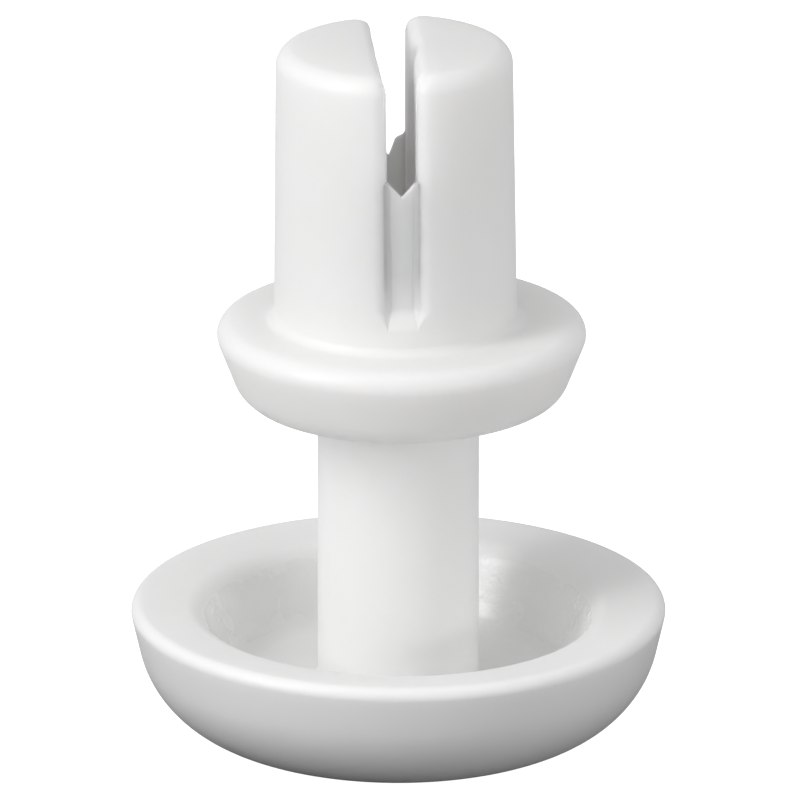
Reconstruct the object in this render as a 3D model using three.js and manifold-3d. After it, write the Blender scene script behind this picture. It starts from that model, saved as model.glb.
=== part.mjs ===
// Two-piece nylon push rivet, in its unlocked state: a slotted sleeve (collar
// and two expanding legs) standing on a push pin with a dished head.
// Millimetres, +Z up. Z = 0 is the outer face of the pin head, the leg tips
// point up, the slot between the legs runs along Y. The axis is X = Y = 0.
import * as THREE from "three";
import { mergeVertices } from "three/addons/utils/BufferGeometryUtils.js";
import Module from "manifold-3d";

const wasm = await Module();
wasm.setup();

// ---- driving dimensions (mm) -------------------------------------------
const TRAVEL = 3.65; // how far the pin is pressed home

const HEAD_R = 3.325; // largest radius of the head
const HEAD_CREST_Z = 1.66; // crest of the rim
const HEAD_DRAFT = 12.8; // side of the head, degrees from the axis
const HEAD_EDGE_R = 0.12; // outer edge of the rim
const HEAD_BASE_R = 1.34; // large rounding round the outer face
const LIP_R = 2.42; // mouth of the recess
const LIP_Z = 1.545;
const FLOOR_Z = 0.62; // recess floor
const FLOOR_R = 2.1; // recess wall at the floor, before its fillet
const SHAFT_R = 1.0; // pin shaft
const NOSE_R = 0.8; // tip of the pin
const NOSE_LEN = 1.2; // taper behind the tip
const NOSE_Z = 5.46; // tip height, unlocked

const COLLAR_Z = 4.28; // underside of the collar
const SEAT_Z = 5.31; // seat: the collar's upper face, which meets the panel
const COLLAR_R = 2.277; // largest radius of the collar
const COLLAR_DRAFT = 21.2;
const COLLAR_EDGE_R = 0.18;
const COLLAR_BASE_R = 0.38;
const BORE_R = 1.04; // bore through collar and legs

const SHANK_R = 1.5; // shank radius at the collar: for a 3 mm hole
const TIP_R = 1.4625; // shank radius at the top, with draft
const SHANK_LEN = 3.5; // to the rounded edge of the tips
const TIP_ROUND = 0.22;
const TIP_DOME = 0.06; // rise of the tips' end faces towards the axis
const STUB = 0.3; // closed ring of shank above the seat
const SHANK_FILLET = 0.08;

const SLOT_TOP = 0.235; // half width of the slot at the tips
const SLOT_LOW = 0.185; // half width 2.1 mm above the seat and below
const WEB_OUT = 1.36; // thin web that closes the slot low down
const WEB_IN = 1.27;
const WEB_HALF_GAP = 0.006;

const SPREAD = 12.0; // degrees that each leg leans out when locked
const HINGE_X = 1.5; // leg root, outer edge
const HINGE_Z = SEAT_Z + STUB;
const CLEAR = 0.03; // running clearance to the pin
const JOIN_GAP = 0.01; // hairline between a leg and its root ring

// ---- helpers ------------------------------------------------------------
const rad = (d) => (d * Math.PI) / 180;

// Polyline with rounded corners: each entry is [r, z, radius, steps].
function rounded(corners) {
  const out = [];
  corners.forEach(([x, y, r = 0, n = 6], i) => {
    const a = corners[i - 1];
    const b = corners[i + 1];
    if (!r || !a || !b) {
      out.push(new THREE.Vector2(x, y));
      return;
    }
    const p = new THREE.Vector2(x, y);
    const u = new THREE.Vector2(a[0], a[1]).sub(p).normalize();
    const v = new THREE.Vector2(b[0], b[1]).sub(p).normalize();
    const half = Math.acos(THREE.MathUtils.clamp(u.dot(v), -1, 1)) / 2;
    const reach = r / Math.tan(half);
    const c = u.clone().add(v).normalize().multiplyScalar(r / Math.sin(half)).add(p);
    const s = u.clone().multiplyScalar(reach).add(p).sub(c);
    const e = v.clone().multiplyScalar(reach).add(p).sub(c);
    let a0 = Math.atan2(s.y, s.x);
    let a1 = Math.atan2(e.y, e.x);
    if (a1 - a0 > Math.PI) a1 -= 2 * Math.PI;
    if (a0 - a1 > Math.PI) a1 += 2 * Math.PI;
    for (let k = 0; k <= n; k++) {
      const t = a0 + ((a1 - a0) * k) / n;
      out.push(new THREE.Vector2(c.x + r * Math.cos(t), c.y + r * Math.sin(t)));
    }
  });
  return out;
}

// Turned solid about Z. Profile points are (r, z).
function turned(points, segments) {
  const g = new THREE.LatheGeometry(points, segments);
  g.rotateX(Math.PI / 2); // the lathe turns about Y
  return g;
}

function clean(geometry) {
  const g = geometry.clone();
  g.deleteAttribute("normal");
  if (g.getAttribute("uv")) g.deleteAttribute("uv");
  return mergeVertices(g, 1e-5);
}

function toSolid(geometry) {
  const g = clean(geometry);
  const solid = new wasm.Manifold(
    new wasm.Mesh({
      numProp: 3,
      vertProperties: new Float32Array(g.getAttribute("position").array),
      triVerts: new Uint32Array(g.getIndex().array),
    }),
  );
  if (solid.volume() <= 0) throw new Error("a solid is inside out or empty");
  return solid;
}

function toGeometry(solid, mirror = false) {
  const m = solid.getMesh();
  const pos = new Float32Array(m.vertProperties);
  const tri = new Uint32Array(m.triVerts);
  if (mirror) {
    for (let i = 0; i < pos.length; i += 3) pos[i] = -pos[i];
    for (let i = 0; i < tri.length; i += 3) [tri[i + 1], tri[i + 2]] = [tri[i + 2], tri[i + 1]];
  }
  const g = new THREE.BufferGeometry();
  g.setAttribute("position", new THREE.BufferAttribute(pos, 3));
  g.setIndex(new THREE.BufferAttribute(tri, 1));
  g.computeVertexNormals();
  return g;
}

// Corner radius on a drafted side whose rounded top edge has largest radius R.
function sideAt(R, edge, topZ, draft, z) {
  const nx = Math.cos(rad(draft));
  const nz = -Math.sin(rad(draft));
  return R - edge + (edge - (z - (topZ - edge)) * nz) / nx;
}

// ---- push pin: dished head, shaft and tapered nose ----------------------
const pinProfile = rounded([
  [0, 0],
  [sideAt(HEAD_R, HEAD_EDGE_R, HEAD_CREST_Z, HEAD_DRAFT, 0), 0, HEAD_BASE_R, 10],
  [sideAt(HEAD_R, HEAD_EDGE_R, HEAD_CREST_Z, HEAD_DRAFT, HEAD_CREST_Z), HEAD_CREST_Z, HEAD_EDGE_R, 4],
  [LIP_R, LIP_Z, 0.14, 4],
  [FLOOR_R, FLOOR_Z, 0.26, 4],
  [SHAFT_R, FLOOR_Z, 0.08, 2],
  [SHAFT_R, NOSE_Z - NOSE_LEN],
  [NOSE_R, NOSE_Z, 0.15, 3],
  [0, NOSE_Z],
]);
const pinGeometry = turned(pinProfile, 24);

// ---- sleeve collar: seat ring, closed root of the shank, bore -----------
const collarProfile = rounded([
  [BORE_R + 0.2, COLLAR_Z],
  [sideAt(COLLAR_R, COLLAR_EDGE_R, SEAT_Z, COLLAR_DRAFT, COLLAR_Z), COLLAR_Z, COLLAR_BASE_R, 7],
  [sideAt(COLLAR_R, COLLAR_EDGE_R, SEAT_Z, COLLAR_DRAFT, SEAT_Z), SEAT_Z, COLLAR_EDGE_R, 5],
  [SHANK_R, SEAT_Z, SHANK_FILLET, 3],
  [SHANK_R, HINGE_Z],
  [BORE_R, HINGE_Z],
  [BORE_R, COLLAR_Z + 0.2],
  [BORE_R + 0.2, COLLAR_Z],
]);
const collarGeometry = turned(collarProfile, 64);

// ---- legs ----------------------------------------------------------------
// Radius of the pressed pin at height Z, for a press of t.
function pinRadius(Z, t) {
  const below = NOSE_Z + t - Z;
  if (below < 0) return 0;
  return NOSE_R + (SHAFT_R - NOSE_R) * Math.min(1, below / NOSE_LEN);
}

// Smallest x that a point of the leg at (y, z) may have so that the leaning
// leg clears the pin at every press.
function cavityAt(y, z) {
  let x = 0;
  const N = 73;
  for (let i = 0; i <= N; i++) {
    const t = (TRAVEL * i) / N;
    const a = rad(SPREAD) * (t / TRAVEL);
    const fits = (px) => {
      const X = HINGE_X + (px - HINGE_X) * Math.cos(a) + (z - HINGE_Z) * Math.sin(a);
      const Z = HINGE_Z - (px - HINGE_X) * Math.sin(a) + (z - HINGE_Z) * Math.cos(a);
      const r = pinRadius(Z, t);
      if (r === 0) return true;
      const rr = (r + CLEAR) * (r + CLEAR) - y * y;
      return rr <= 0 || X >= Math.sqrt(rr);
    };
    if (fits(x)) continue;
    let lo = x;
    let hi = HINGE_X;
    for (let k = 0; k < 24; k++) {
      const mid = (lo + hi) / 2;
      if (fits(mid)) hi = mid;
      else lo = mid;
    }
    x = hi;
  }
  return x;
}

const slotAt = (z) =>
  SLOT_LOW +
  (SLOT_TOP - SLOT_LOW) * THREE.MathUtils.clamp((z - SEAT_Z - 2.1) / (SHANK_LEN - 2.1), 0, 1.2);

// What is cut away from the shank to leave one leg: everything on the far
// side of the slot face and of the tapering pin cavity.
function legCutter() {
  const levels = [0.1, 0.31, 0.5, 0.8, 1.1, 1.4, 1.7, 2.0, 2.3, 2.6, 2.85, 3.1, 3.3, 3.5, 3.8].map(
    (h) => SEAT_Z + h,
  );
  const ys = [-1.8, -1.3];
  const M = 18;
  for (let k = 0; k <= M; k++) ys.push(-(SHAFT_R + CLEAR) * Math.cos((Math.PI * k) / M));
  ys.push(1.3, 1.8);
  const ring = (z) => {
    const p = ys.map((y) => [Math.max(slotAt(z), cavityAt(y, Math.max(z, HINGE_Z))), y]);
    p.push([-2, 1.8], [-2, -1.8]);
    return p;
  };
  const rings = levels.map(ring);
  const n = rings[0].length;
  const pos = [];
  rings.forEach((r, i) => r.forEach(([x, y]) => pos.push(x, y, levels[i])));
  const idx = [];
  for (let i = 0; i + 1 < rings.length; i++) {
    for (let j = 0; j < n; j++) {
      const a = i * n + j;
      const b = i * n + ((j + 1) % n);
      idx.push(a, b, b + n, a, b + n, a + n);
    }
  }
  const cap = (i, up) => {
    const pts = rings[i].map(([x, y]) => new THREE.Vector2(x, y));
    for (const [a, b, c] of THREE.ShapeUtils.triangulateShape(pts, [])) {
      const o = i * n;
      if (up) idx.push(o + a, o + b, o + c);
      else idx.push(o + a, o + c, o + b);
    }
  };
  cap(0, false);
  cap(rings.length - 1, true);
  const g = new THREE.BufferGeometry();
  g.setAttribute("position", new THREE.BufferAttribute(new Float32Array(pos), 3));
  g.setIndex(idx);
  g.computeVertexNormals();
  return g;
}

const shank = toSolid(
  turned(
    rounded([
      [0, HINGE_Z + JOIN_GAP],
      [SHANK_R, HINGE_Z + JOIN_GAP],
      [TIP_R, SEAT_Z + SHANK_LEN, TIP_ROUND, 5],
      [1.0, SEAT_Z + SHANK_LEN + 0.5 * TIP_DOME],
      [0.5, SEAT_Z + SHANK_LEN + 0.88 * TIP_DOME],
      [0, SEAT_Z + SHANK_LEN + TIP_DOME],
    ]),
    56,
  ),
);

// Half of a thin web across the slot. outline holds (x, z) points of its
// upper edge, from the middle of the slot outwards; side is -1 front, 1 back.
function halfWeb(outline, side) {
  const s = new THREE.Shape();
  s.moveTo(WEB_HALF_GAP, HINGE_Z + JOIN_GAP);
  s.lineTo(0.42, HINGE_Z + JOIN_GAP);
  for (const [x, z] of [...outline].reverse()) s.lineTo(x, z);
  s.closePath();
  const g = new THREE.ExtrudeGeometry(s, { depth: 1.4, bevelEnabled: false });
  g.rotateX(Math.PI / 2); // x stays, outline's y becomes z, depth runs to -Y
  if (side > 0) g.translate(0, 1.6, 0);
  else g.translate(0, -0.2, 0);
  const ring = turned(
    [
      new THREE.Vector2(WEB_IN, SEAT_Z),
      new THREE.Vector2(WEB_OUT, SEAT_Z),
      new THREE.Vector2(WEB_OUT, SEAT_Z + 3),
      new THREE.Vector2(WEB_IN, SEAT_Z + 3),
      new THREE.Vector2(WEB_IN, SEAT_Z),
    ],
    96,
  );
  return toSolid(g).intersect(toSolid(ring));
}

const frontWeb = halfWeb(
  [
    [WEB_HALF_GAP, SEAT_Z + 2.0],
    [SLOT_LOW, SEAT_Z + 2.18],
    [0.42, SEAT_Z + 2.18],
  ],
  -1,
);
const backWeb = halfWeb(
  [
    [WEB_HALF_GAP, SEAT_Z + 1.7],
    [0.115, SEAT_Z + 1.98],
    [0.15, SEAT_Z + 2.0],
    [0.42, SEAT_Z + 2.0],
  ],
  1,
);

const leg = shank.subtract(toSolid(legCutter())).add(frontWeb).add(backWeb);

// ---- assembly ------------------------------------------------------------
const nylon = () =>
  new THREE.MeshStandardMaterial({ color: 0xeeeeeb, roughness: 0.42, metalness: 0.0 });

function part(name, geometry) {
  const m = new THREE.Mesh(geometry, nylon());
  m.name = name;
  return m;
}

const rivet = new THREE.Group();
rivet.name = "push_rivet";

const sleeve = new THREE.Group();
sleeve.add(part("sleeve_collar", collarGeometry));
sleeve.add(part("leg_left", toGeometry(leg, true)));
sleeve.add(part("leg_right", toGeometry(leg)));
rivet.add(sleeve);

const pin = new THREE.Group();
pin.add(part("push_pin", pinGeometry));
rivet.add(pin);

export default rivet;
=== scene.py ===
"""Looks of the two-piece nylon push rivet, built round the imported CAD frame.

All lengths are in metres. Row frame: Z = 0 is the outer face of the pin head,
+Z points to the leg tips, the slot between the legs runs along Y.
"""
import math

import bpy
import numpy as np
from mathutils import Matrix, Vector


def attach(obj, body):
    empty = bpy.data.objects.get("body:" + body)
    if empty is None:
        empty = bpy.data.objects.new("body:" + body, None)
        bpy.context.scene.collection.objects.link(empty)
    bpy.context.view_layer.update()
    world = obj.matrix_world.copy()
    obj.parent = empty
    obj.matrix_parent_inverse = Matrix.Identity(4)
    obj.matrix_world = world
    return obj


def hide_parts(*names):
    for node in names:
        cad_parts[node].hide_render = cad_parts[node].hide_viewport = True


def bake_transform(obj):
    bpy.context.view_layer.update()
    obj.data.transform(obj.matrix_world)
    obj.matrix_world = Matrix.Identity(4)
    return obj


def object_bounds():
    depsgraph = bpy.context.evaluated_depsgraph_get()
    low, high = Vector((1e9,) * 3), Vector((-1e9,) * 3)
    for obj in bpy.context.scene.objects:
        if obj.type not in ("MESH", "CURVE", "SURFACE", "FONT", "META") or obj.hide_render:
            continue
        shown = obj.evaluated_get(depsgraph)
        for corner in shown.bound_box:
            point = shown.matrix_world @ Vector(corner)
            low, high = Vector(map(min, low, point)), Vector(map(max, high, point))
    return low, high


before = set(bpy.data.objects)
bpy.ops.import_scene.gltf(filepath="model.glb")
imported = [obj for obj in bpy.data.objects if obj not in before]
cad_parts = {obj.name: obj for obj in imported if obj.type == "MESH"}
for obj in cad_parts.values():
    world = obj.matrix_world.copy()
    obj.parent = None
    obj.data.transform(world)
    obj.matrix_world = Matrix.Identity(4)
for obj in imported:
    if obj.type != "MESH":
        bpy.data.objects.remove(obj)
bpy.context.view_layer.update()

MM = 0.001

# ---- sizes, millimetres --------------------------------------------------
HEAD_R, HEAD_CREST_Z, HEAD_DRAFT = 3.325, 1.66, 12.8
FLOOR_Z = 0.62
NOSE_Z, NOSE_R, NOSE_LEN, SHAFT_R = 5.46, 0.8, 1.2, 1.0
COLLAR_Z, SEAT_Z, COLLAR_R, COLLAR_DRAFT = 4.28, 5.31, 2.277, 21.2
BORE_R = 1.04
SHANK_R, TIP_R, SHANK_LEN = 1.5, 1.4625, 3.5
SPREAD, TRAVEL = 12.0, 3.65
HINGE_X, HINGE_Z = 1.5, SEAT_Z + 0.3
CORE_R = 1.4925  # the collar's solid core, just under the skin of the legs' roots


def smooth(t):
    t = min(1.0, max(0.0, t))
    return t * t * (3 - 2 * t)


def rounded(corners, closed=False):
    """Polyline with rounded corners: each entry is (x, y, radius, steps)."""
    pts = []
    n = len(corners)
    for i, c in enumerate(corners):
        x, y = c[0], c[1]
        r = c[2] if len(c) > 2 else 0.0
        steps = c[3] if len(c) > 3 else 8
        if r <= 0 or (not closed and i in (0, n - 1)):
            pts.append((x, y))
            continue
        a, b = corners[i - 1], corners[(i + 1) % n]
        p = np.array((x, y))
        u = np.array(a[:2]) - p
        v = np.array(b[:2]) - p
        u, v = u / np.linalg.norm(u), v / np.linalg.norm(v)
        half = math.acos(float(np.clip(u @ v, -1, 1))) / 2
        reach = r / math.tan(half)
        w = u + v
        c0 = p + w / np.linalg.norm(w) * r / math.sin(half)
        s, e = p + u * reach - c0, p + v * reach - c0
        a0, a1 = math.atan2(s[1], s[0]), math.atan2(e[1], e[0])
        if a1 - a0 > math.pi:
            a1 -= 2 * math.pi
        if a0 - a1 > math.pi:
            a1 += 2 * math.pi
        for k in range(steps + 1):
            t = a0 + (a1 - a0) * k / steps
            pts.append((c0[0] + r * math.cos(t), c0[1] + r * math.sin(t)))
    return pts


def refine(pts, step, closed=False):
    """Adds points on long straight runs, so that the mesh can carry soft waves."""
    out = []
    m = len(pts)
    for i in range(m if closed else m - 1):
        a, b = np.array(pts[i]), np.array(pts[(i + 1) % m])
        k = max(1, int(math.ceil(np.linalg.norm(b - a) / step)))
        out += [tuple(a + (b - a) * j / k) for j in range(k)]
    if not closed:
        out.append(tuple(pts[-1]))
    return out


def side_at(R, edge, top_z, draft, z):
    nx, nz = math.cos(math.radians(draft)), -math.sin(math.radians(draft))
    return R - edge + (edge - (z - (top_z - edge)) * nz) / nx


def new_object(name, verts, faces):
    mesh = bpy.data.meshes.new(name)
    mesh.from_pydata([tuple(v) for v in verts], [], faces)
    mesh.validate()
    mesh.update()
    obj = bpy.data.objects.new(name, mesh)
    bpy.context.scene.collection.objects.link(obj)
    return obj


def shade(obj, angle=40.0):
    mesh = obj.data
    mesh.polygons.foreach_set("use_smooth", [True] * len(mesh.polygons))
    mesh.set_sharp_from_angle(angle=math.radians(angle))
    mesh.update()


def turned(name, profile, segments, closed, wave=None):
    """Solid of revolution about Z. profile holds (r, z) in mm; wave(r, z, a)
    returns the small (dr, dz) that a moulding shrinks by."""
    verts, rows = [], []
    for r, z in profile:
        if r < 1e-9:
            rows.append([len(verts)])
            verts.append((0.0, 0.0, z * MM))
            continue
        row = []
        for s in range(segments):
            a = 2 * math.pi * s / segments
            dr, dz = wave(r, z, a) if wave else (0.0, 0.0)
            row.append(len(verts))
            verts.append(((r + dr) * math.cos(a) * MM, (r + dr) * math.sin(a) * MM, (z + dz) * MM))
        rows.append(row)
    faces = []
    m = len(rows)
    for i in range(m if closed else m - 1):
        a, b = rows[i], rows[(i + 1) % m]
        for s in range(segments):
            t = (s + 1) % segments
            if len(a) == 1 and len(b) == 1:
                continue
            if len(a) == 1:
                faces.append((a[0], b[t], b[s]))
            elif len(b) == 1:
                faces.append((a[s], a[t], b[0]))
            else:
                faces.append((a[s], a[t], b[t], b[s]))
    return new_object(name, verts, faces)


# ---- push pin -------------------------------------------------------------
def pin_wave(r, z, a):
    # the thick head sinks a little unevenly as it cools
    if r > 2.2 and z > 0.9:
        w = 0.006 * math.sin(2 * a + 0.7) + 0.004 * math.sin(3 * a + 2.1)
        return 0.0, w * smooth((z - 0.9) / 0.6)
    return 0.0, 0.0


pin_profile = refine(
    rounded(
        [
            (0.0, 0.0),
            (side_at(HEAD_R, 0.12, HEAD_CREST_Z, HEAD_DRAFT, 0.0), 0.0, 1.34, 26),
            (side_at(HEAD_R, 0.12, HEAD_CREST_Z, HEAD_DRAFT, HEAD_CREST_Z), HEAD_CREST_Z, 0.13, 12),
            (2.44, 1.55, 0.34, 14),
            (2.1, FLOOR_Z, 0.30, 10),
            (SHAFT_R, FLOOR_Z, 0.10, 6),
            (SHAFT_R, NOSE_Z - NOSE_LEN, 1.0, 4),
            (NOSE_R, NOSE_Z, 0.16, 8),
            (0.0, NOSE_Z),
        ]
    ),
    0.12,
)
pin = turned("push_pin_moulding", pin_profile, 288, False, pin_wave)
shade(pin, 50)
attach(pin, "pin")
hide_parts("push_pin")

# ---- collar of the sleeve ---------------------------------------------------
collar_profile = refine(
    rounded(
        [
            (BORE_R + 0.14, COLLAR_Z, 0.05, 4),
            (side_at(COLLAR_R, 0.2, SEAT_Z, COLLAR_DRAFT, COLLAR_Z), COLLAR_Z, 0.40, 14),
            (side_at(COLLAR_R, 0.2, SEAT_Z, COLLAR_DRAFT, SEAT_Z), SEAT_Z, 0.2, 12),
            (CORE_R, SEAT_Z, 0.13, 12),
            (CORE_R, SEAT_Z + 0.29),
            (BORE_R, SEAT_Z + 0.29),
            (BORE_R, COLLAR_Z + 0.14),
        ],
        closed=True,
    ),
    0.12,
    closed=True,
)
collar = turned("sleeve_collar_moulding", collar_profile, 256, True)
for vert in collar.data.vertices:
    rr = math.hypot(vert.co.x, vert.co.y) / MM
    dx = -0.035 * smooth((rr - 1.1) / 0.25) + 0.075 * smooth((rr - 1.62) / 0.35)
    vert.co.x += dx * MM
shade(collar, 40)
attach(collar, "sleeve")
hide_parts("sleeve_collar")


# ---- legs -------------------------------------------------------------------
def pin_radius(z, t):
    below = NOSE_Z + t - z
    if below < 0:
        return 0.0
    return NOSE_R + (SHAFT_R - NOSE_R) * min(1.0, below / NOSE_LEN)


CAVITY_T = np.linspace(0.0, TRAVEL, 74)


def cavity(ys, z):
    """Smallest x of the leg's inner wall, for each y, that clears the pin."""
    out = np.zeros(len(ys))
    for t in CAVITY_T:
        a = math.radians(SPREAD) * t / TRAVEL
        ca, sa = math.cos(a), math.sin(a)

        def bad(x):
            X = HINGE_X + (x - HINGE_X) * ca + (z - HINGE_Z) * sa
            Z = HINGE_Z - (x - HINGE_X) * sa + (z - HINGE_Z) * ca
            below = NOSE_Z + t - Z
            r = np.where(below < 0, 0.0, NOSE_R + (SHAFT_R - NOSE_R) * np.clip(below / NOSE_LEN, 0, 1))
            rr = (r + 0.03) ** 2 - ys ** 2
            return (r > 0) & (rr > 0) & (X < np.sqrt(np.maximum(rr, 0)))

        hit = bad(out)
        if not hit.any():
            continue
        lo, hi = out.copy(), np.full(len(ys), HINGE_X)
        for _ in range(20):
            mid = (lo + hi) / 2
            b = bad(mid)
            lo, hi = np.where(b, mid, lo), np.where(b, hi, mid)
        out = np.where(hit, hi, out)
    return out


ROOT_Z = SEAT_Z - 0.60
RIM_ROUND = 0.21  # rounding round the leg tips


def lean(h):
    """The two mould halves sit a few hundredths of a millimetre off each other."""
    return -0.035 - 0.014 * min(1.0, max(0.0, h / SHANK_LEN))


def slot_half(y, h):
    """Half width of the slot: a little wider at the back than at the front."""
    return 0.203 + 0.0165 * (y / 1.45) + 0.006 * smooth((h - 2.2) / 1.2)


def shank_radius(h):
    return SHANK_R - 0.003 - 0.047 * (max(0.0, h) / SHANK_LEN) ** 1.15


def section(z, inset, room):
    """Closed outline of the right leg at height z, as an (N, 2) array with the
    same N and the same order everywhere. inset shrinks it for the rounded tip;
    room is more space for the pin, where the leg sits off centre towards it."""
    h = z - SEAT_Z
    R = shank_radius(h)
    g = smooth((h - 0.30) / 0.28)
    pts = []
    for side in (-1, 1):
        close = smooth((h - 0.27) / 0.04)
        s_edge = 0.002 + (slot_half(side * 1.45, h) - 0.002) * close
        Ro = R - inset
        rc = max(0.14 * g - inset * 0.2, 0.003)
        inner = 0.7 * inset
        sx = s_edge + inner
        cx = sx + rc
        cy = math.sqrt(max((Ro - rc) ** 2 - cx * cx, 1e-6))
        a_edge = math.atan2(cy, cx)
        run = [(Ro * math.cos(t), Ro * math.sin(t)) for t in np.linspace(0.0, a_edge, 52)]
        run += [
            (cx + rc * math.cos(t), cy + rc * math.sin(t))
            for t in np.linspace(a_edge, math.pi, 13)[1:]
        ]
        ys = cy * np.cos(np.linspace(0.0, math.pi / 2, 40))[1:] ** 1.0
        wall = np.array([0.002 + (slot_half(side * y, h) - 0.002) * close for y in ys]) + inner
        cav = cavity(ys, max(z, HINGE_Z))
        cav = np.where(cav > 0, cav + room, cav) + inner
        soft = 0.02
        both = np.maximum(wall, cav) + soft * np.log1p(np.exp(-np.abs(wall - cav) / soft))
        both -= soft * math.log1p(math.exp(-abs(both[0] - sx) / soft)) * (ys / cy) ** 8
        run += list(zip(both, ys))
        run = [(x, side * y) for x, y in run]
        pts += run if side < 0 else run[::-1][1:-1]
    return np.array(pts)


def tip_dome(x, y):
    return 0.06 * (1.0 - (x * x + y * y) / 1.46 ** 2)


def make_leg(name, mirror, drop):
    top = SEAT_Z + SHANK_LEN - drop
    rf = RIM_ROUND
    levels = list(np.linspace(ROOT_Z, SEAT_Z, 5)[:-1])
    levels += list(SEAT_Z + np.linspace(0.0, 0.14, 8)[:-1])
    levels += list(SEAT_Z + np.linspace(0.14, 0.28, 4)[:-1])
    levels += list(SEAT_Z + np.linspace(0.28, 0.62, 22)[:-1])
    levels += list(np.linspace(SEAT_Z + 0.62, top - rf, 44))
    insets = [0.0] * len(levels)
    for k in range(1, 19):
        t = math.pi / 2 * k / 18
        levels.append(top - rf + rf * math.sin(t))
        insets.append(rf * (1 - math.cos(t)))
    room = 0.0 if mirror else 0.06
    rings = [section(z, i, room) for z, i in zip(levels, insets)]
    verts = []
    for z, ring in zip(levels, rings):
        edge = smooth((z - (top - rf)) / rf) if z > top - rf else 0.0
        for x, y in ring:
            verts.append((x, y, z + edge * tip_dome(x, y)))
    n = len(rings[0])
    faces = []
    for i in range(len(rings) - 1):
        for j in range(n):
            k = (j + 1) % n
            faces.append((i * n + j, i * n + k, (i + 1) * n + k, (i + 1) * n + j))
    faces.append(tuple(range(n))[::-1])
    cx, cy = 0.78, 0.0
    last = (len(rings) - 1) * n
    ring = rings[-1]
    steps = 14
    for q in range(1, steps):
        f = 1.0 - q / steps
        start = len(verts)
        for x, y in ring:
            px, py = cx + (x - cx) * f, cy + (y - cy) * f
            verts.append((px, py, top + tip_dome(px, py)))
        for j in range(n):
            k = (j + 1) % n
            faces.append((last + j, last + k, start + k, start + j))
        last = start
    verts.append((cx, cy, top + tip_dome(cx, cy)))
    for j in range(n):
        faces.append((last + j, last + (j + 1) % n, len(verts) - 1))
    v = np.array(verts)
    if mirror:
        v[:, 0] = -v[:, 0]
        faces = [f[::-1] for f in faces]
    v[:, 0] += [lean(z - SEAT_Z) for z in v[:, 2]]
    obj = new_object(name, v * MM, faces)
    import bmesh

    bm = bmesh.new()
    bm.from_mesh(obj.data)
    bmesh.ops.triangulate(bm, faces=[f for f in bm.faces if len(f.verts) > 4])
    bmesh.ops.recalc_face_normals(bm, faces=bm.faces)
    bm.to_mesh(obj.data)
    bm.free()
    shade(obj, 45)
    return obj


def web_outer(ax, h, side):
    """Outer radius of the web: flat in the middle, with a concave fillet that
    runs into the rounded corner of each leg, flush with the shank at its root."""
    R = shank_radius(h)
    g = smooth((h - 0.30) / 0.28)
    s = slot_half(side * 1.45, h)
    if g < 0.01:
        return R + 0.0015 - 0.006 * smooth((ax - s + 0.05) / 0.12)
    rb = R + (1.355 - R) * g
    rc, f = max(0.14 * g, 0.003), 0.10 * g
    cx = s + rc
    cy = math.sqrt((R - rc) ** 2 - cx * cx)
    yf = math.sqrt(rb * rb - s * s) + f
    dy, D = yf - cy, f + rc
    dx = math.sqrt(max(D * D - dy * dy, 0.0))
    xf, xt = cx - dx, cx - rc * dx / D
    if ax <= xf:
        y = math.sqrt(rb * rb - ax * ax)
    elif ax <= xt:
        y = yf - math.sqrt(max(f * f - (ax - xf) ** 2, 0.0))
    else:
        y = yf - math.sqrt(max(f * f - (xt - xf) ** 2, 0.0)) - 1.5 * (ax - xt)
    return math.sqrt(y * y + ax * ax)


def make_web(name, side, top_edge):
    """Thin web across the slot, standing on the closed root of the shank.
    top_edge holds (x, h) points from the middle of the slot outwards."""
    xs_t = [p[0] for p in top_edge]
    hs_t = [p[1] for p in top_edge]
    wall = slot_half(side * 1.3, 1.0)
    half = wall + 0.12
    cols = half * np.sin(np.linspace(-math.pi / 2, math.pi / 2, 121))
    loops = []
    for x in cols:
        ax = abs(x)
        H = float(np.interp(ax, xs_t, hs_t))
        loop = []
        hs = [-0.45, -0.2, 0.0, 0.04, 0.08, 0.12, 0.2]
        hs += list(np.linspace(0.28, 0.62, 22))
        hs += list(np.linspace(0.62, H - 0.03, 40)[1:])
        for h in hs:
            loop.append((web_outer(ax, h, side), h))
        ro = web_outer(ax, H - 0.03, side)
        mid_r, half_t = (ro + 1.265) / 2, (ro - 1.265) / 2
        for t in np.linspace(0, math.pi, 9)[1:-1]:
            loop.append((mid_r + half_t * math.cos(t), H - 0.03 + 0.03 * math.sin(t)))
        for h in reversed(hs):
            g = smooth((h - 0.26) / 0.12)
            loop.append((BORE_R + (1.265 - BORE_R) * g, h))
        loops.append(loop)
    verts = []
    for x, loop in zip(cols, loops):
        for r, h in loop:
            y = side * math.sqrt(max(r * r - x * x, 1e-6))
            verts.append((x + lean(h), y, SEAT_Z + h))
    n, m = len(loops[0]), len(cols)
    faces = []
    for i in range(m - 1):
        for j in range(n):
            k = (j + 1) % n
            faces.append((i * n + j, (i + 1) * n + j, (i + 1) * n + k, i * n + k))
    faces.append(tuple(range(n)))
    faces.append(tuple((m - 1) * n + j for j in range(n))[::-1])
    obj = new_object(name, np.array(verts) * MM, faces)
    import bmesh

    bm = bmesh.new()
    bm.from_mesh(obj.data)
    bmesh.ops.triangulate(bm, faces=[f for f in bm.faces if len(f.verts) > 4])
    bmesh.ops.recalc_face_normals(bm, faces=bm.faces)
    bm.to_mesh(obj.data)
    bm.free()
    shade(obj, 45)
    return obj


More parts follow.
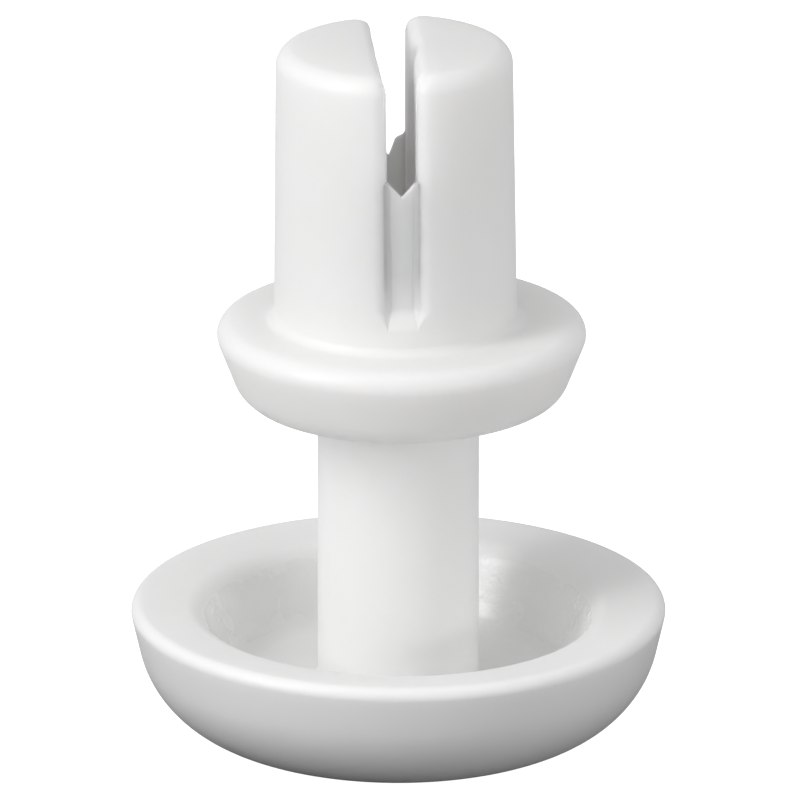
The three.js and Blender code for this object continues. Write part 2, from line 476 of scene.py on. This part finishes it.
leg_right = make_leg("leg_right_moulding", False, -0.008)
leg_left = make_leg("leg_left_moulding", True, 0.020)
for obj, node in ((leg_left, "leg_left"), (leg_right, "leg_right")):
    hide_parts(node)
web_front = make_web(
    "web_front",
    -1,
    [(0.0, 1.995), (0.012, 2.0), (0.03, 2.018), (0.15, 2.15), (0.18, 2.185), (0.3, 2.2)],
)
web_back = make_web(
    "web_back",
    1,
    [(0.0, 1.70), (0.012, 1.71), (0.08, 1.895), (0.10, 1.925), (0.17, 1.96), (0.20, 1.99), (0.222, 2.06), (0.3, 2.1)],
)
for obj in (web_front, web_back):
    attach(obj, "sleeve")


# ---- nylon --------------------------------------------------------------------
def nylon(name, color, grain_in_recess, depth, reach, joined=False):
    mat = bpy.data.materials.new(name)
    mat.use_nodes = True
    nt = mat.node_tree
    nt.nodes.clear()
    N = nt.nodes.new
    L = nt.links.new
    out = N("ShaderNodeOutputMaterial")
    b = N("ShaderNodeBsdfPrincipled")
    L(b.outputs["BSDF"], out.inputs["Surface"])
    b.inputs["IOR"].default_value = 1.53
    b.inputs["Subsurface Weight"].default_value = depth
    b.inputs["Subsurface Radius"].default_value = (1.0, 0.97, 0.93)
    b.inputs["Subsurface Scale"].default_value = reach
    b.inputs["Specular IOR Level"].default_value = 0.42
    tc = N("ShaderNodeTexCoord")

    # slow cloudiness of the natural resin
    n1 = N("ShaderNodeTexNoise")
    n1.inputs["Scale"].default_value = 420.0
    n1.inputs["Detail"].default_value = 3.0
    L(tc.outputs["Object"], n1.inputs["Vector"])
    ramp = N("ShaderNodeValToRGB")
    ramp.color_ramp.elements[0].position = 0.3
    ramp.color_ramp.elements[1].position = 0.75
    ramp.color_ramp.elements[0].color = (color[0] * 0.965, color[1] * 0.965, color[2] * 0.96, 1)
    ramp.color_ramp.elements[1].color = (*color, 1)
    L(n1.outputs["Fac"], ramp.inputs["Fac"])
    L(ramp.outputs["Color"], b.inputs["Base Color"])

    # satin skin: roughness wanders a little
    n2 = N("ShaderNodeTexNoise")
    n2.inputs["Scale"].default_value = 1500.0
    n2.inputs["Detail"].default_value = 4.0
    L(tc.outputs["Object"], n2.inputs["Vector"])
    rr = N("ShaderNodeMapRange")
    rr.inputs["From Min"].default_value = 0.3
    rr.inputs["From Max"].default_value = 0.7
    rr.inputs["To Min"].default_value = 0.40
    rr.inputs["To Max"].default_value = 0.52
    L(n2.outputs["Fac"], rr.inputs["Value"])

    # fine grain of the tool, everywhere
    n3 = N("ShaderNodeTexNoise")
    n3.inputs["Scale"].default_value = 9000.0
    n3.inputs["Detail"].default_value = 3.0
    L(tc.outputs["Object"], n3.inputs["Vector"])
    bump = N("ShaderNodeBump")
    bump.inputs["Strength"].default_value = 0.10
    bump.inputs["Distance"].default_value = 0.00003
    L(n3.outputs["Fac"], bump.inputs["Height"])

    sep = N("ShaderNodeSeparateXYZ")
    L(tc.outputs["Object"], sep.inputs["Vector"])

    def math_node(op, a, c):
        m = N("ShaderNodeMath")
        m.operation = op
        for k, v in enumerate((a, c)):
            if v is None:
                continue
            if isinstance(v, (int, float)):
                m.inputs[k].default_value = v
            else:
                L(v, m.inputs[k])
        return m.outputs[0]

    xx = math_node("MULTIPLY", sep.outputs["X"], sep.outputs["X"])
    yy = math_node("MULTIPLY", sep.outputs["Y"], sep.outputs["Y"])
    r = math_node("SQRT", math_node("ADD", xx, yy), None)

    def fade(v, lo, hi):
        up = N("ShaderNodeMapRange")
        up.inputs["From Min"].default_value = lo
        up.inputs["From Max"].default_value = hi
        L(v, up.inputs["Value"])
        return up.outputs[0]

    if joined:
        # less scattering where the sleeve's root, webs and collar run into each other
        far = math_node(
            "MAXIMUM",
            fade(sep.outputs["Z"], (SEAT_Z + 0.28) * MM, (SEAT_Z + 1.0) * MM),
            fade(r, 0.00165, 0.0020),
        )
        L(math_node("MULTIPLY", far, depth), b.inputs["Subsurface Weight"])

    if grain_in_recess:
        # spark-eroded grain inside the head's recess
        def band(v, lo, hi, soft):
            up = N("ShaderNodeMapRange")
            up.inputs["From Min"].default_value = lo
            up.inputs["From Max"].default_value = lo + soft
            L(v, up.inputs["Value"])
            dn = N("ShaderNodeMapRange")
            dn.inputs["From Min"].default_value = hi - soft
            dn.inputs["From Max"].default_value = hi
            dn.inputs["To Min"].default_value = 1.0
            dn.inputs["To Max"].default_value = 0.0
            L(v, dn.inputs["Value"])
            return math_node("MULTIPLY", up.outputs[0], dn.outputs[0])

        mask = math_node(
            "MULTIPLY",
            band(r, 0.00200, 0.00250, 0.0001),
            band(sep.outputs["Z"], 0.0005, 0.00157, 0.0001),
        )
        n4 = N("ShaderNodeTexNoise")
        n4.inputs["Scale"].default_value = 13000.0
        n4.inputs["Detail"].default_value = 1.0
        L(tc.outputs["Object"], n4.inputs["Vector"])
        height = n4.outputs["Fac"]
        grain = N("ShaderNodeBump")
        L(math_node("MULTIPLY", mask, 0.22), grain.inputs["Strength"])
        grain.inputs["Distance"].default_value = 0.00003
        L(height, grain.inputs["Height"])
        L(bump.outputs["Normal"], grain.inputs["Normal"])
        L(grain.outputs["Normal"], b.inputs["Normal"])
        low = N("ShaderNodeMath")
        low.operation = "MULTIPLY_ADD"
        L(mask, low.inputs[0])
        low.inputs[1].default_value = -0.20
        L(rr.outputs[0], low.inputs[2])
        L(low.outputs[0], b.inputs["Roughness"])
    else:
        L(rr.outputs[0], b.inputs["Roughness"])
        L(bump.outputs["Normal"], b.inputs["Normal"])
    return mat


sleeve_mat = nylon("sleeve_nylon_satin", (0.895, 0.895, 0.89), False, 0.9, 0.0005, True)
pin_mat = nylon("pin_nylon_satin", (0.965, 0.965, 0.96), True, 0.3, 0.0003)
web_mat = nylon("web_nylon_satin", (0.895, 0.895, 0.89), False, 0.75, 0.0005, True)
# brighter copy of the leg nylon with deeper scattering: its brighter base colour is painted light for the shaded
# walls of the slot
slot_wall_painted_light_mat = nylon("leg_inside_nylon_painted_light", (0.985, 0.985, 0.982), False, 1.0, 0.0022)
for obj in (collar, leg_left, leg_right):
    obj.data.materials.append(sleeve_mat)
for obj in (web_front, web_back):
    obj.data.materials.append(web_mat)
for obj in (leg_left, leg_right):
    # the slot's walls scatter light deeper, as light comes through the thin, translucent legs, and carry a brighter
    # base colour than the rest of the legs: painted light on the shaded walls
    obj.data.materials.append(slot_wall_painted_light_mat)
    for poly in obj.data.polygons:
        c = poly.center / MM
        h = c.z - SEAT_Z
        if math.hypot(c.x - lean(h), c.y) < 1.36 and h < SHANK_LEN - 0.12 and abs(poly.normal.z) < 0.6:
            poly.material_index = 1
pin.data.materials.append(pin_mat)

# the legs bend from their roots, where the closed ring of the shank ends; here their placements are only baked into
# their meshes
for obj, body in ((leg_left, "left_leg"), (leg_right, "right_leg")):
    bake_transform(obj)

# ---- floor, light, camera ------------------------------------------------------
lo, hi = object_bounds()
size = 4.0
floor = new_object(
    "floor",
    [(-size, -size, 0), (size, -size, 0), (size, size, 0), (-size, size, 0)],
    [(0, 1, 2, 3)],
)
floor.location.z = -0.000005
fm = bpy.data.materials.new("floor_white")
fm.use_nodes = True
fb = fm.node_tree.nodes["Principled BSDF"]
fb.inputs["Base Color"].default_value = (0.8, 0.8, 0.8, 1)
fb.inputs["Roughness"].default_value = 0.9
fb.inputs["Specular IOR Level"].default_value = 0.0
fb.inputs["Emission Color"].default_value = (1, 1, 1, 1)
fb.inputs["Emission Strength"].default_value = 1.0
floor.data.materials.append(fm)
floor.visible_diffuse = False
floor.visible_glossy = False

# white surround, seen by the camera only, so that low views have no horizon
turn = [(3.5 * math.cos(t), 3.5 * math.sin(t)) for t in np.linspace(0, 2 * math.pi, 97)[:-1]]
surround = new_object(
    "surround",
    [(x, y, -0.01) for x, y in turn] + [(x, y, 3.0) for x, y in turn],
    [(k, (k + 1) % 96, 96 + (k + 1) % 96, 96 + k) for k in range(96)] + [tuple(range(96, 192))],
)
surround.data.materials.append(fm)
surround.visible_diffuse = False
surround.visible_glossy = False
surround.visible_transmission = False
surround.visible_shadow = False


# light given back by the table: dark close to the part, bright farther off
def glow(name, radius, z, strength):
    ring = [(radius * math.cos(t), radius * math.sin(t), 0.0) for t in np.linspace(0, 2 * math.pi, 97)[:-1]]
    obj = new_object(name, ring, [tuple(range(96))])
    obj.location.z = z
    m = bpy.data.materials.new(name)
    m.use_nodes = True
    p = m.node_tree.nodes["Principled BSDF"]
    p.inputs["Base Color"].default_value = (0.1, 0.1, 0.1, 1)
    p.inputs["Roughness"].default_value = 0.9
    p.inputs["Emission Color"].default_value = (1, 1, 1, 1)
    p.inputs["Emission Strength"].default_value = strength
    obj.data.materials.append(m)
    obj.visible_camera = False


glow("table_near", 0.0068, -0.0002, 0.01)
glow("table_far", 0.6, -0.0003, 0.48)

world = bpy.data.worlds.new("studio")
bpy.context.scene.world = world
world.use_nodes = True
bg = world.node_tree.nodes["Background"]
bg.inputs["Color"].default_value = (1, 1, 1, 1)
bg.inputs["Strength"].default_value = 0.475


def area(name, pos, target, sx, sy, power):
    light = bpy.data.lights.new(name, "AREA")
    light.shape = "RECTANGLE"
    light.size, light.size_y = sx, sy
    light.energy = power
    obj = bpy.data.objects.new(name, light)
    bpy.context.scene.collection.objects.link(obj)
    obj.location = pos
    d = Vector(target) - Vector(pos)
    obj.rotation_euler = d.to_track_quat("-Z", "Y").to_euler()
    return obj


mid = (0, 0, 0.0045)
area("key", (-0.055, -0.030, 0.055), mid, 0.034, 0.034, 0.0195)
area("side", (-0.065, -0.034, 0.030), (0.0012, 0.0019, 0.0012), 0.014, 0.014, 0.011)
area("fill", (0.060, -0.050, 0.030), mid, 0.05, 0.05, 0.003)
area("low", (0.062, -0.078, 0.0105), mid, 0.04, 0.012, 0.0100)
area("top", (0.0, -0.010, 0.080), mid, 0.06, 0.06, 0.0090)

scene = bpy.context.scene
scene.view_settings.view_transform = "Standard"

AZ, EL, DIST, PX = -3.6, 18.8, 0.150, 81.0
cam = bpy.data.cameras.new("camera")
cam.sensor_width = 36.0
cam.lens = 36.0 * PX * (DIST * 1000) / 800.0
cam.clip_start, cam.clip_end = 0.01, 20.0
cam_obj = bpy.data.objects.new("camera", cam)
scene.collection.objects.link(cam_obj)
a, e = math.radians(AZ), math.radians(EL)
target = Vector((0.000021, 0, 0.00424))
direction = Vector((math.sin(a) * math.cos(e), -math.cos(a) * math.cos(e), math.sin(e)))
cam_obj.location = target + direction * DIST
cam_obj.rotation_euler = (-direction).to_track_quat("-Z", "Y").to_euler()
scene.camera = cam_obj
